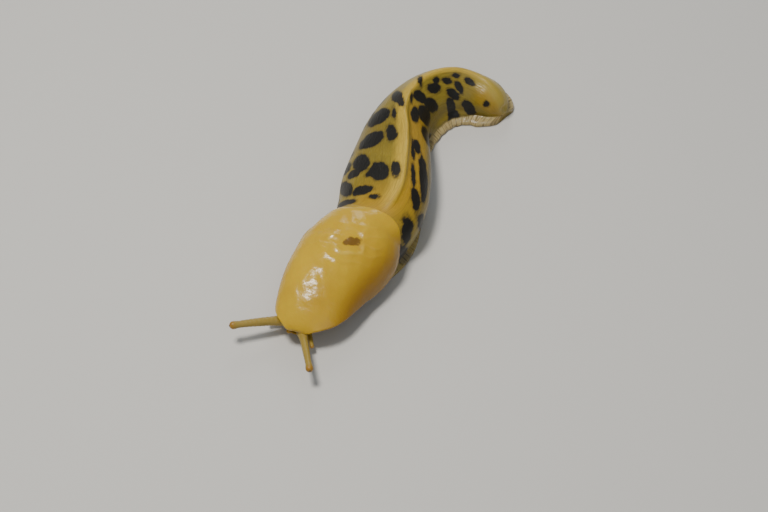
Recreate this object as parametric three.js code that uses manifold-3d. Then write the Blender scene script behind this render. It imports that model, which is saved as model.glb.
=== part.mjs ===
// A life-size banana slug, crawling on a flat floor with its head drawn in under the mantle.
// Millimetres, +Z up. The head faces -Y, the slug's left side is +X, and the sole lies at z = 0.
// The origin is on the sole, under the middle of the mantle.
// Everything is placed by its distance behind the snout along the animal's own curved midline.
import * as THREE from "three";
import { mergeVertices } from "three/addons/utils/BufferGeometryUtils.js";
import Module from "manifold-3d";

const wasm = await Module();
wasm.setup();

// Driving dimensions
const bodyLength = 140.5;
const originFromSnout = 25;
const gap = 0.3;
const tentacleGap = 0.42; // wider than the other gaps, as the head is coarse where the tentacles leave it
const footHeight = 2.0;
const wallBase = footHeight + gap;
const headEnd = 11;
const neckEnd = 22;
const trunkCuts = [22, 50, 78, 106];
const footStart = 4;
const footCuts = [44, 78, 108];

// Shape along the body: [distance behind the snout, value]
const shape = {
  heading: [
    [0, 102], [20, 92], [36, 90], [52, 112], [70, 114.4], [86, 103.8],
    [96, 91.4], [104, 78.6], [112, 60], [122, 30], [142, -14],
  ],
  halfWidth: [
    [11, 8.5], [22, 10.2], [34, 12.2], [46, 14.6], [60, 14.9],
    [84, 12.2], [104, 9.2], [120, 8.1], [132, 7],
  ],
  height: [
    [11, 10.5], [22, 14.5], [34, 17], [50, 18.8], [64, 19.3],
    [84, 18.5], [104, 17.1], [120, 15.6], [132, 13.5],
  ],
  roundness: [[22, 2.1], [44, 1.9], [54, 1.65], [84, 1.5], [110, 1.4], [142, 1.4]],
  keel: [[42, 0], [48, 0.8], [58, 1.2], [70, 1.4], [124, 1.4], [142, 0.3]],
  lean: [
    [22, -4], [36, -1.7], [46, 5.8], [56, 7.7], [68, 7.5],
    [80, 5.8], [92, 2.4], [106, 0], [120, -0.8], [142, 1],
  ],
  sideShift: [[-4, -5.4], [4, -4.6], [14, -2.4], [26, 0], [34, 0], [48, -0.9], [66, -0.9], [84, 0]],
  footHalfWidth: [
    [11, 7.5], [22, 9.8], [34, 13.4], [46, 15.4], [60, 15.2],
    [84, 13.4], [104, 12.8], [120, 11.6], [132, 10.4],
  ],
  footTuck: [[34, 0], [48, 1.8], [66, 1.4], [88, 1.4], [104, 0]],
};

// Head: a blunt snout that hides under the hood
const snout = { start: -4, halfWidth: 5.9, top: 8.6, bottom: wallBase, centre: 5.2, length: 6 };
const mouth = { width: 3.4, height: 1, depth: 1.5, z: 3.6, behindFront: 0.9, lip: 0.5 };
const lobe = { size: [1.05, 0.8, 1.2], aside: 1.85, down: 0.55 };

// Tail: the keel drops to a blunt end over the caudal pore
const tailRound = 10;
const caudalPore = { fromTip: 2.2, z: 4.6, radius: 1.1 };

// Mantle: a smooth shield whose front is a hood over the head
const mantle = {
  front: -5.8,
  rear: 41.6,
  centre: 26,
  reach: 1.62,
  rimThickness: 1.5,
  crownThickness: 2.4,
  bluntness: 0.86,
  bodyTaken: [30, 41],
  dent: { at: 31, depth: 0.3, radius: 5 },
};
const hood = {
  halfWidth: [[-6, 8.7], [0, 10.6], [8, 11.4], [16, 12.3], [26, 13.6], [38, 13.7]],
  top: [[-6, 7.8], [-3, 8.8], [2, 11.5], [8, 14.2], [16, 16.2], [26, 17.4], [38, 18.6]],
  lean: [[0, -3.4], [14, -3.9], [26, -2.4], [38, 0]],
};
const breathingPore = { at: 27, angle: 158, length: 3.6, width: 1.5, depth: 1.3, proud: 0.4 };

// Tentacles: root and tip in the row frame, and how far the middle arches up
const optic = { radii: { root: 1.85, middle: 1.35, neck: 1.08, bulb: 1.3 }, sides: 14, rings: 16 };
const oral = { radii: { root: 1, middle: 0.85, neck: 0.72, bulb: 0.78 }, sides: 12, rings: 8 };
const tentacles = {
  optic_tentacle_left: { size: optic, root: [0.3, -28.4, 5.2], tip: [12.6, -43, 8], arch: 0.9 },
  optic_tentacle_right: { size: optic, root: [-6.2, -28, 5], tip: [-19, -40.6, 8], arch: 1 },
  oral_tentacle_left: { size: oral, root: [2.4, -27.4, 3.3], tip: [6.5, -32, 3.3], arch: 0.2 },
  oral_tentacle_right: { size: oral, root: [-8.1, -26.6, 3.3], tip: [-11.8, -30.2, 3], arch: 0.2 },
};
const eye = { radius: 0.45, socket: 0.62, forward: 0.95 };

// Mesh steps
const alongStep = 2.6;
const crestSteps = 24;
const bellySteps = 8;
const mantleRings = 11;
const mantleSpokes = 44;

const colours = {
  mantle: 0xc9a53c,
  flank: 0xb39d4b,
  sole: 0xa8925a,
  tentacle: 0xa08a4c,
  eye: 0x2a2018,
};

// A smooth curve through [place, value] pairs that never overshoots between them
function track(keys) {
  const x = keys.map((k) => k[0]);
  const y = keys.map((k) => k[1]);
  const rise = x.slice(1).map((right, i) => (y[i + 1] - y[i]) / (right - x[i]));
  const slope = x.map((_, i) => {
    if (i === 0 || i === x.length - 1) return 0;
    const [a, b] = [rise[i - 1], rise[i]];
    return a * b <= 0 ? 0 : (2 * a * b) / (a + b);
  });
  return (place) => {
    const p = THREE.MathUtils.clamp(place, x[0], x.at(-1));
    const i = Math.min(Math.max(x.findIndex((v) => v >= p) - 1, 0), x.length - 2);
    const span = x[i + 1] - x[i];
    const t = (p - x[i]) / span;
    return (
      y[i] * (1 + 2 * t) * (1 - t) ** 2 +
      y[i + 1] * t * t * (3 - 2 * t) +
      span * (slope[i] * t * (1 - t) ** 2 - slope[i + 1] * t * t * (1 - t))
    );
  };
}
const at = Object.fromEntries(Object.entries(shape).map(([name, keys]) => [name, track(keys)]));
const hoodAt = Object.fromEntries(Object.entries(hood).map(([name, keys]) => [name, track(keys)]));

// Midline on the floor: the heading is added up in small steps from the origin
const walkStep = 0.25;
const walkFrom = -24;
const walk = [];
for (let s = walkFrom, x = 0, y = 0; s <= bodyLength + 4; s += walkStep) {
  walk.push([x, y]);
  const angle = THREE.MathUtils.degToRad(at.heading(s));
  x += Math.cos(angle) * walkStep;
  y += Math.sin(angle) * walkStep;
}
function midline(s) {
  const place = (s - walkFrom) / walkStep;
  const i = Math.min(Math.max(Math.floor(place), 0), walk.length - 2);
  const t = place - i;
  return [0, 1].map((k) => walk[i][k] * (1 - t) + walk[i + 1][k] * t);
}
const home = midline(originFromSnout);

// Body coordinates (behind the snout, to the left, up) to the row frame
function place(s, left, up) {
  const [x, y] = midline(s);
  const angle = THREE.MathUtils.degToRad(at.heading(s));
  return new THREE.Vector3(x - home[0] + left * Math.sin(angle), y - home[1] - left * Math.cos(angle), up);
}

// How wide, tall and leaning the body wall is at a place, and where its underside lies
function wallAt(s) {
  const nose = Math.sqrt(Math.max(0, 1 - Math.max(0, 1 - (s - snout.start) / snout.length) ** 2));
  const blend = THREE.MathUtils.smoothstep(s, 2, headEnd + 1);
  const fromTip = Math.max(0, 1 - (bodyLength - s) / tailRound);
  const end = Math.sqrt(Math.max(0, 1 - fromTip ** 2));
  const low = THREE.MathUtils.lerp(snout.centre, snout.bottom, nose);
  const headTop = THREE.MathUtils.lerp(snout.centre, snout.top, nose);
  return {
    halfWidth: THREE.MathUtils.lerp(snout.halfWidth * nose, at.halfWidth(s), blend) * end,
    top: wallBase + (THREE.MathUtils.lerp(headTop, at.height(s), blend) - wallBase) * (0.25 + 0.75 * end),
    bottom: low,
    roundness: at.roundness(s),
    keel: at.keel(s) * end,
    lean: at.lean(s) * end * blend,
    shift: at.sideShift(s),
  };
}

// The mantle's lining: roomier than the body wall over the head, one with it at the rear edge
function liningAt(s) {
  const wall = wallAt(s);
  const taken = THREE.MathUtils.smoothstep(s, ...mantle.bodyTaken);
  const lining = { ...wall, bottom: wallBase, keel: 0, shift: wall.shift * taken };
  for (const [name, read] of Object.entries(hoodAt)) {
    lining[name] = THREE.MathUtils.lerp(read(s), wall[name], taken);
  }
  return lining;
}

const signedPower = (v, e) => Math.sign(v) * Math.abs(v) ** e;

// A point of the wall's section: 0 is the left side, a quarter turn the crest, a half turn the right side
function sectionPoint(wall, turn, grow = 0) {
  const side = wall.bottom + 0.3 * (wall.top - wall.bottom);
  const width = wall.halfWidth + grow;
  const lower = turn > Math.PI || turn < 0;
  const power = lower ? 0.62 : 2 / wall.roundness;
  const reach = lower ? side - wall.bottom + grow : wall.top - side + grow;
  const share = signedPower(Math.sin(turn), lower ? 0.5 : 0.95);
  const across = width * signedPower(Math.cos(turn), power);
  const crest = lower ? 0 : wall.keel * Math.exp(-((across / 1.25) ** 2));
  const up = side + reach * share + crest;
  const lift = THREE.MathUtils.clamp((up - wall.bottom) / (wall.top - wall.bottom + 1e-6), 0, 1.2);
  return [across + wall.shift + wall.lean * lift ** 1.25, up];
}

// Turns round a section, closer together at the crest
function wallTurns() {
  const turns = [];
  for (let i = 0; i <= crestSteps; i++) {
    const x = (2 * i) / crestSteps - 1;
    turns.push((Math.PI / 2) * (1 + signedPower(x, 1.2)));
  }
  for (let i = 1; i < bellySteps; i++) turns.push(Math.PI * (1 + i / bellySteps));
  return turns;
}

// One closed body through rings of equal length, closed by a fan at each end
function loft(rings) {
  const count = rings[0].length;
  const points = rings.flat();
  const index = [];
  for (let r = 0; r + 1 < rings.length; r++) {
    for (let i = 0; i < count; i++) {
      const [a, b] = [r * count + i, r * count + ((i + 1) % count)];
      index.push(a, b, b + count, a, b + count, a + count);
    }
  }
  const ends = [
    [rings[0], 0, true],
    [rings.at(-1), (rings.length - 1) * count, false],
  ];
  for (const [ring, first, flip] of ends) {
    const middle = ring.reduce((sum, p) => sum.add(p), new THREE.Vector3()).divideScalar(count);
    points.push(middle);
    for (let i = 0; i < count; i++) {
      const [a, b] = [first + i, first + ((i + 1) % count)];
      index.push(...(flip ? [points.length - 1, b, a] : [points.length - 1, a, b]));
    }
  }
  const geometry = new THREE.BufferGeometry().setFromPoints(points);
  geometry.setIndex(index);
  return outward(geometry);
}

// Turns every face round if the body came out inside out
function outward(geometry) {
  const p = geometry.getAttribute("position");
  const index = geometry.index.array;
  const [a, b, c] = [new THREE.Vector3(), new THREE.Vector3(), new THREE.Vector3()];
  let volume = 0;
  for (let i = 0; i < index.length; i += 3) {
    a.fromBufferAttribute(p, index[i]);
    b.fromBufferAttribute(p, index[i + 1]);
    c.fromBufferAttribute(p, index[i + 2]);
    volume += a.dot(b.cross(c));
  }
  if (volume < 0) {
    for (let i = 0; i < index.length; i += 3) [index[i + 1], index[i + 2]] = [index[i + 2], index[i + 1]];
  }
  return geometry;
}

// Joining and cutting
function toSolid(geometry) {
  const bare = new THREE.BufferGeometry();
  bare.setAttribute("position", geometry.getAttribute("position"));
  bare.setIndex(geometry.index);
  const merged = mergeVertices(bare, 1e-4);
  return new wasm.Manifold(
    new wasm.Mesh({
      numProp: 3,
      vertProperties: new Float32Array(merged.attributes.position.array),
      triVerts: new Uint32Array(merged.index.array),
    }),
  );
}
function fromSolid(solid) {
  const largest = solid.decompose().sort((a, b) => b.volume() - a.volume())[0];
  const mesh = largest.getMesh();
  const geometry = new THREE.BufferGeometry();
  geometry.setAttribute("position", new THREE.BufferAttribute(new Float32Array(mesh.vertProperties), 3));
  geometry.setIndex(new THREE.BufferAttribute(new Uint32Array(mesh.triVerts), 1));
  return geometry;
}

// Evenly spaced places from one cut to the next, closer together where an end is rounded
function places(from, to, roundFrom = false, roundTo = false) {
  const steps = Math.max(4, Math.round((to - from) / alongStep) + (roundFrom || roundTo ? 3 : 0));
  return Array.from({ length: steps + 1 }, (_, i) => {
    let t = i / steps;
    if (roundFrom) t = 1 - Math.sin((1 - t) * (Math.PI / 2)) ** 1.2;
    if (roundTo) t = Math.sin(t * (Math.PI / 2)) ** 1.2;
    return from + (to - from) * t;
  });
}

// Head, neck and trunk
function wallLength(from, to, ends = {}, grow = 0) {
  const turns = wallTurns();
  return loft(
    places(from, to, ends.from, ends.to).map((s) => {
      const wall = wallAt(s);
      return turns.map((turn) => place(s - grow, ...sectionPoint(wall, turn, grow)));
    }),
  );
}

// The mouth is low on the front of the head: a raised lip, a lobe at each corner and a slit
function atMouth(piece) {
  const front = snout.start + mouth.behindFront;
  const facing = new THREE.Matrix4()
    .makeTranslation(place(front, at.sideShift(front), mouth.z))
    .multiply(new THREE.Matrix4().makeRotationZ(THREE.MathUtils.degToRad(at.heading(front) - 90)))
    .multiply(new THREE.Matrix4().makeRotationX(Math.PI / 2));
  return toSolid(piece.applyMatrix4(facing));
}
function lips(grow = 0) {
  const ring = new THREE.TorusGeometry(mouth.width / 2, mouth.lip + grow, 8, 20).scale(1, 0.6, 1.4);
  const lobes = [-1, 1].map((side) =>
    new THREE.SphereGeometry(1, 14, 10)
      .scale(...lobe.size.map((radius) => radius + grow))
      .translate(side * lobe.aside, -lobe.down, 0),
  );
  return [ring, ...lobes].map(atMouth).reduce((joined, piece) => joined.add(piece));
}
function head() {
  const plain = toSolid(wallLength(snout.start + 0.05, headEnd - gap / 2, { from: true }));
  const slit = new THREE.SphereGeometry(1, 16, 10);
  slit.scale(mouth.width / 2 - 0.4, mouth.height / 2, mouth.depth);
  return fromSolid(plain.add(lips()).subtract(atMouth(slit)));
}

// The sole and its fringe: a low slab with a thin, slightly ruffled edge
function footHalfWidth(s) {
  const ruffle = 0.12 * Math.sin(s * 0.9) * THREE.MathUtils.smoothstep(s, 40, 100);
  const front = Math.sqrt(Math.max(0, 1 - Math.max(0, 1 - (s - footStart) / 5) ** 2));
  const end = Math.sqrt(Math.max(0, 1 - Math.max(0, 1 - (bodyLength + 1 - s) / tailRound) ** 2));
  return (at.footHalfWidth(s) + ruffle) * Math.min(front, end);
}
function footLength(from, to, ends = {}) {
  const edge = [
    [0, 0], [0.7, 0], [0.93, 0], [0.985, 0.25], [1, 0.7],
    [0.985, 1.15], [0.93, 1.5], [0.85, footHeight], [0.45, footHeight],
  ];
  const loop = [...edge, [0, footHeight], ...edge.slice(1).reverse().map(([x, z]) => [-x, z])];
  return loft(
    places(from, to, ends.from, ends.to).map((s) => {
      const reach = (x) => x * (footHalfWidth(s) - (x < 0 ? at.footTuck(s) : 0)) + at.sideShift(s);
      return loop.map(([x, z]) => place(s, reach(x), z));
    }),
  );
}

// Mantle: a shell laid on the body wall, rolled round at its free edge
function mantlePoint(share, spoke, lift) {
  const along = signedPower(Math.cos(spoke), mantle.bluntness);
  const reach = along > 0 ? mantle.rear - mantle.centre : mantle.centre - mantle.front;
  const s = mantle.centre + share * reach * along;
  const turn = Math.PI / 2 - share * mantle.reach * signedPower(Math.sin(spoke), mantle.bluntness);
  const surface = (ds, dt) => {
    const wall = liningAt(s + ds);
    return place(s + ds, ...sectionPoint(wall, turn + dt, gap));
  };
  const here = surface(0, 0);
  const back = surface(0.05, 0).sub(surface(-0.05, 0));
  const round = surface(0, -0.01).sub(surface(0, 0.01));
  return here.addScaledVector(back.cross(round).normalize(), -lift);
}
function mantleShell() {
  const { rimThickness, crownThickness, dent } = mantle;
  const quarter = Math.PI / 2 / mantleRings;
  const shares = Array.from({ length: mantleRings }, (_, i) => Math.sin((i + 1) * quarter));
  const spokes = Array.from({ length: mantleSpokes }, (_, j) => (j / mantleSpokes) * 2 * Math.PI);
  const lipSteps = 4;
  const ring = (share, lift) => spokes.map((spoke) => mantlePoint(share, spoke, lift(share, spoke)));
  const thick = (share) => rimThickness + (crownThickness - rimThickness) * (1 - share ** 4);
  const dented = (share, spoke) => {
    const ds = mantle.centre + share * 22 * Math.cos(spoke) - dent.at;
    const du = share * 14 * Math.sin(spoke);
    return thick(share) - dent.depth * Math.exp(-(ds * ds + du * du) / dent.radius ** 2);
  };
  const outer = shares.map((share) => ring(share, dented));
  const inner = shares.map((share) => ring(share, () => 0)).reverse();
  const lip = Array.from({ length: lipSteps - 1 }, (_, k) => {
    const angle = ((k + 1) / lipSteps) * Math.PI;
    return spokes.map((spoke) => {
      const rim = mantlePoint(1, spoke, 0);
      const away = rim.clone().sub(mantlePoint(0.97, spoke, 0)).normalize();
      const top = mantlePoint(1, spoke, (rimThickness / 2) * (1 + Math.cos(angle)));
      return top.addScaledVector(away, (rimThickness / 2) * Math.sin(angle));
    });
  });
  return loft([...outer, ...lip, ...inner]);
}
function mantleWithPore() {
  const pit = new THREE.SphereGeometry(1, 18, 12);
  pit.scale(breathingPore.width / 2, breathingPore.length / 2, breathingPore.depth);
  const turn = THREE.MathUtils.degToRad(breathingPore.angle);
  const out = gap + mantle.rimThickness + breathingPore.proud;
  const spot = place(breathingPore.at, ...sectionPoint(liningAt(breathingPore.at), turn, out));
  const tilt = new THREE.Matrix4().makeRotationY(-Math.PI / 2.6);
  pit.applyMatrix4(tilt).translate(spot.x, spot.y, spot.z);
  return fromSolid(toSolid(mantleShell()).subtract(toSolid(pit)));
}

// Tentacles: tapering stalks with a rounded bulb, cut to the head's surface with a fine gap
function stalkCurve({ root, tip, arch }) {
  const [a, b] = [new THREE.Vector3(...root), new THREE.Vector3(...tip)];
  const middle = a.clone().lerp(b, 0.5);
  middle.z += arch;
  return new THREE.QuadraticBezierCurve3(a, middle, b);
}
function stalk(spec) {
  const { size } = spec;
  const curve = stalkCurve(spec);
  const { radii } = size;
  const bulb = radii.bulb / curve.getLength();
  const radius = track([[0, radii.root], [0.4, radii.middle], [0.84, radii.neck], [1 - bulb, radii.bulb]]);
  const frames = curve.computeFrenetFrames(size.rings * 2);
  const rings = [];
  for (let i = 0; i <= size.rings; i++) {
    const t = Math.sin((i / size.rings) * (Math.PI / 2)) ** 0.9;
    const cap = Math.sqrt(Math.max(0.0004, 1 - Math.max(0, (t - 1 + bulb) / bulb) ** 2));
    const r = radius(t) * cap;
    const k = Math.round(t * size.rings * 2);
    const centre = curve.getPointAt(Math.min(t, 1));
    rings.push(
      Array.from({ length: size.sides }, (_, j) => {
        const angle = (j / size.sides) * 2 * Math.PI;
        return centre
          .clone()
          .addScaledVector(frames.normals[k], Math.cos(angle) * r)
          .addScaledVector(frames.binormals[k], Math.sin(angle) * r);
      }),
    );
  }
  return loft(rings);
}
function eyeCentre(spec) {
  const curve = stalkCurve(spec);
  const back = 1 - spec.size.radii.bulb / curve.getLength();
  return curve.getPointAt(back).addScaledVector(curve.getTangentAt(1), eye.forward);
}
function tentacle(spec, headRoom) {
  const cut = toSolid(stalk(spec)).subtract(headRoom);
  if (spec.size !== optic) return fromSolid(cut);
  const spot = eyeCentre(spec);
  const socket = new THREE.SphereGeometry(eye.socket, 12, 8).translate(spot.x, spot.y, spot.z);
  return fromSolid(cut.subtract(toSolid(socket)));
}
function eyeball(spec) {
  const spot = eyeCentre(spec);
  return new THREE.SphereGeometry(eye.radius, 12, 8).translate(spot.x, spot.y, spot.z);
}

// The tail has a small pit for its slime gland above the end of the foot
function tail() {
  const plain = toSolid(wallLength(trunkCuts[3] + gap / 2, bodyLength - 0.05, { to: true }));
  const spot = place(bodyLength - caudalPore.fromTip + 2, 0, caudalPore.z);
  const pit = new THREE.SphereGeometry(caudalPore.radius, 14, 10).translate(spot.x, spot.y, spot.z);
  return fromSolid(plain.subtract(toSolid(pit)));
}

const slug = new THREE.Group();
function addNode(name, geometry, colour, roughness = 0.3) {
  geometry.computeVertexNormals();
  const material = new THREE.MeshStandardMaterial({ color: colour, roughness, metalness: 0 });
  const mesh = new THREE.Mesh(geometry, material);
  mesh.name = name;
  slug.add(mesh);
}

const half = gap / 2;
addNode("head", head(), colours.flank);
addNode("neck", wallLength(headEnd + half, neckEnd - half), colours.flank);
addNode("trunk_front", wallLength(trunkCuts[0] + half, trunkCuts[1] - half), colours.flank);
addNode("trunk_middle", wallLength(trunkCuts[1] + half, trunkCuts[2] - half), colours.flank);
addNode("trunk_rear", wallLength(trunkCuts[2] + half, trunkCuts[3] - half), colours.flank);
addNode("tail", tail(), colours.flank);
addNode("mantle", mantleWithPore(), colours.mantle, 0.2);
addNode("foot_front", footLength(footStart + 0.1, footCuts[0] - half, { from: true }), colours.sole);
addNode("foot_middle", footLength(footCuts[0] + half, footCuts[1] - half), colours.sole);
addNode("foot_rear", footLength(footCuts[1] + half, footCuts[2] - half), colours.sole);
addNode("foot_tail", footLength(footCuts[2] + half, bodyLength + 0.9, { to: true }), colours.sole);

const roomyHead = toSolid(wallLength(snout.start + 0.05, headEnd, { from: true }, tentacleGap));
const headRoom = roomyHead.add(lips(gap));
for (const [name, spec] of Object.entries(tentacles)) {
  addNode(name, tentacle(spec, headRoom), colours.tentacle);
}
addNode("eye_left", eyeball(tentacles.optic_tentacle_left), colours.eye, 0.1);
addNode("eye_right", eyeball(tentacles.optic_tentacle_right), colours.eye, 0.1);

export default slug;
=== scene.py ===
import math
import random

import bpy
import numpy as np
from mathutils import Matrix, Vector, kdtree


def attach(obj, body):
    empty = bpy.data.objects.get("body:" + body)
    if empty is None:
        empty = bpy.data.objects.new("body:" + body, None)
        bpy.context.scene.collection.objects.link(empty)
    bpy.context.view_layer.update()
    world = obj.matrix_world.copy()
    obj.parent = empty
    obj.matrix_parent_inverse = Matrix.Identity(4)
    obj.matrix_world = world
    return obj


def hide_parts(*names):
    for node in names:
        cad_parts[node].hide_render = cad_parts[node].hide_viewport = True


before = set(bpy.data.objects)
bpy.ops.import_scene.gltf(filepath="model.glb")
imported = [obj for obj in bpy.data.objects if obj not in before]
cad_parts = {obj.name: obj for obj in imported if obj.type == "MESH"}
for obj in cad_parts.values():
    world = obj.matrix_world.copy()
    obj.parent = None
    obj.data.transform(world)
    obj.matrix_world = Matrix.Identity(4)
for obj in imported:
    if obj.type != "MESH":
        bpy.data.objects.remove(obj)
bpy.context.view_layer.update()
print("frame loaded")

mm = 0.001

# Camera, floor and lights
stage = {
    "floor": (206, 203, 197),
    "floorHalf": 4.0,
    "picture": (768, 512),
    "target": (5.74, 14.86, 0.0),
    "distance": 570.0,
    "elevation": 50.0,
    "azimuth": 30.0,
    "lens": 79.875,
    "sensor": 36.0,
    "key": {"at": (-0.15, -0.10, 0.74), "size": 0.2, "power": 5.2, "tint": (1.0, 0.97, 0.92)},
    "fill": {"at": (0.5, -0.4, 0.5), "size": 0.6, "power": 0.7, "tint": (0.9, 0.95, 1.0)},
    "back": {"at": (-0.3, 0.55, 0.45), "size": 0.3, "power": 0.8, "tint": (0.95, 0.98, 1.0)},
    "lightsAim": (0.0, 0.02, 0.01),
    "world": (0.86, 0.93, 1.0),
    "worldStrength": 0.28,
}

# The slug is measured along its bent midline: [mm behind the snout, value]
slug = {
    "length": 140.5,
    "originFromSnout": 25.0,
    "wallBase": 2.3,
    "widestAt": 0.3,
    "underPower": 0.62,
    "topPower": 0.95,
    "leanPower": 1.25,
    "snoutStart": -4.0,
    "snoutHalfWidth": 5.9,
    "snoutTop": 8.6,
    "snoutCentre": 5.2,
    "snoutLength": 6.0,
    "neckBlend": (2.0, 12.0),
    "tailRound": 10.0,
    "tailTipHeight": 0.25,
    "heading": [
        (0, 102), (20, 92), (36, 90), (52, 112), (70, 114.4), (86, 103.8),
        (96, 91.4), (104, 78.6), (112, 60), (122, 30), (142, -14),
    ],
    "halfWidth": [
        (11, 8.5), (22, 10.2), (34, 12.2), (46, 14.6), (60, 14.9),
        (84, 12.2), (104, 9.2), (120, 8.1), (132, 7),
    ],
    "height": [
        (11, 10.5), (22, 14.5), (34, 17), (50, 18.8), (64, 19.3),
        (84, 18.5), (104, 17.1), (120, 15.6), (132, 13.5),
    ],
    "roundness": [(22, 2.1), (44, 1.9), (54, 1.65), (84, 1.5), (110, 1.4), (142, 1.4)],
    "keel": [(42, 0), (48, 0.8), (58, 1.2), (70, 1.4), (124, 1.4), (142, 0.3)],
    "keelWidth": {"left": 1.5, "right": 3.2},
    "lean": [
        (22, -4), (36, -1.7), (46, 5.8), (56, 7.7), (68, 7.5),
        (80, 5.8), (92, 2.4), (106, 0), (120, -0.8), (142, 1),
    ],
    "sideShift": [(-4, -5.4), (4, -4.6), (14, -2.4), (26, 0), (34, 0), (48, -0.9), (66, -0.9), (84, 0)],
    "footHalfWidth": [
        (11, 7.5), (22, 9.8), (34, 13.4), (46, 15.4), (60, 15.2),
        (84, 13.4), (104, 12.8), (120, 11.6), (132, 10.4),
    ],
    "footTuck": [(34, 0), (48, 1.8), (66, 1.4), (88, 1.4), (104, 0)],
    "footStart": 4.0,
    "footFront": 5.0,
    "ruffle": 0.12,
    "ruffleTurn": 0.9,
}

mantle = {
    "front": -5.3,
    "rear": 41.6,
    "centre": 26.0,
    "reach": 1.62,
    "rimThickness": 1.5,
    "rearThinner": 0.6,
    "crownThickness": 2.4,
    "bluntness": 0.86,
    "bodyTaken": (30.0, 41.0),
    "gap": 0.3,
    "rings": 92,
    "spokes": 200,
    "lipSteps": 9,
    "innerRings": 20,
    "roundRadius": 12.5,
    "swell": {"height": 0.13, "seed": 11, "spread": 2.4},
    "relief": {"height": 0.1, "seed": 12, "spread": 0.62},
    "creases": {"height": 0.7, "seed": 21, "spread": 1.5, "fromMark": 6.2, "fade": 3.4},
    "mark": (26.1, 3.4),
    "markSize": (2.9, 1.7),
    "markTurn": 33.0,
    "wrinkleAt": (25.3, 2.6),
    "wrinkleRadius": 4.3,
    "wrinkleHeight": 0.25,
    "foldOut": 3.1,
    "poreAt": 27.0,
    "poreTurn": 158.0,
    "poreHalf": (1.9, 0.95),
    "poreDepth": 1.5,
    "poreRim": 0.35,
}
hood = {
    "halfWidth": [(-6, 8.7), (0, 10.6), (8, 11.4), (16, 12.3), (26, 13.6), (38, 13.7)],
    "top": [(-5.4, 6.8), (-4.4, 7.9), (-3, 8.9), (2, 11.5), (8, 14.2), (16, 16.2), (26, 17.4), (38, 18.6)],
    "lean": [(0, -3.4), (14, -3.9), (26, -2.4), (38, 0)],
}


def track(keys):
    x = np.array([k[0] for k in keys], float)
    y = np.array([k[1] for k in keys], float)
    rise = np.diff(y) / np.diff(x)
    slope = np.zeros(len(x))
    a, b = rise[:-1], rise[1:]
    same = a * b > 0
    slope[1:-1] = np.where(same, 2 * a * b / np.where(same, a + b, 1), 0)

    def read(place):
        p = np.clip(np.asarray(place, float), x[0], x[-1])
        i = np.clip(np.searchsorted(x, p, "left") - 1, 0, len(x) - 2)
        span = x[i + 1] - x[i]
        t = (p - x[i]) / span
        return (
            y[i] * (1 + 2 * t) * (1 - t) ** 2
            + y[i + 1] * t * t * (3 - 2 * t)
            + span * (slope[i] * t * (1 - t) ** 2 - slope[i + 1] * t * t * (1 - t))
        )

    return read


def smooth(x, low, high):
    t = np.clip((x - low) / (high - low), 0, 1)
    return t * t * (3 - 2 * t)


def signedPower(v, power):
    return np.sign(v) * np.abs(v) ** power


def bell(x, width):
    return np.exp(-((x / width) ** 2))


tracks = {name: track(keys) for name, keys in slug.items() if isinstance(keys, list)}
hoodTracks = {name: track(keys) for name, keys in hood.items()}

walkStep = 0.25
walkS = np.arange(-24, slug["length"] + 4, walkStep)
walkAngle = np.radians(tracks["heading"](walkS))
walkX = np.concatenate([[0], np.cumsum(np.cos(walkAngle) * walkStep)[:-1]])
walkY = np.concatenate([[0], np.cumsum(np.sin(walkAngle) * walkStep)[:-1]])
homeX = np.interp(slug["originFromSnout"], walkS, walkX)
homeY = np.interp(slug["originFromSnout"], walkS, walkY)


def place(s, left, up):
    # (behind the snout, to the left, up) to the row frame, still in mm
    angle = np.radians(tracks["heading"](s))
    x = np.interp(s, walkS, walkX) - homeX + left * np.sin(angle)
    y = np.interp(s, walkS, walkY) - homeY - left * np.cos(angle)
    return np.stack(np.broadcast_arrays(x, y, up), -1)


def wallAt(s):
    s = np.asarray(s, float)
    nose = np.sqrt(np.clip(1 - np.maximum(0, 1 - (s - slug["snoutStart"]) / slug["snoutLength"]) ** 2, 0, 1))
    blend = smooth(s, *slug["neckBlend"])
    fromTip = np.maximum(0, 1 - (slug["length"] - s) / slug["tailRound"])
    end = np.sqrt(np.clip(1 - fromTip**2, 0, 1))
    low = slug["snoutCentre"] + (slug["wallBase"] - slug["snoutCentre"]) * nose
    headTop = slug["snoutCentre"] + (slug["snoutTop"] - slug["snoutCentre"]) * nose
    snoutWidth = slug["snoutHalfWidth"] * nose
    top = headTop + (tracks["height"](s) - headTop) * blend
    least = slug["tailTipHeight"]
    return {
        "halfWidth": (snoutWidth + (tracks["halfWidth"](s) - snoutWidth) * blend) * end,
        "top": slug["wallBase"] + (top - slug["wallBase"]) * (least + (1 - least) * end),
        "bottom": low,
        "roundness": tracks["roundness"](s),
        "keel": tracks["keel"](s) * end,
        "lean": tracks["lean"](s) * end * blend,
        "shift": tracks["sideShift"](s),
    }


def liningAt(s):
    # the inside of the mantle: roomier than the body over the head, one with it at the rear edge
    s = np.asarray(s, float)
    wall = wallAt(s)
    taken = smooth(s, *mantle["bodyTaken"])
    for name, read in hoodTracks.items():
        wall[name] = read(s) + (wall[name] - read(s)) * taken
    wall["bottom"] = slug["wallBase"] + 0 * s
    wall["shift"] = wall["shift"] * taken
    return wall


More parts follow.
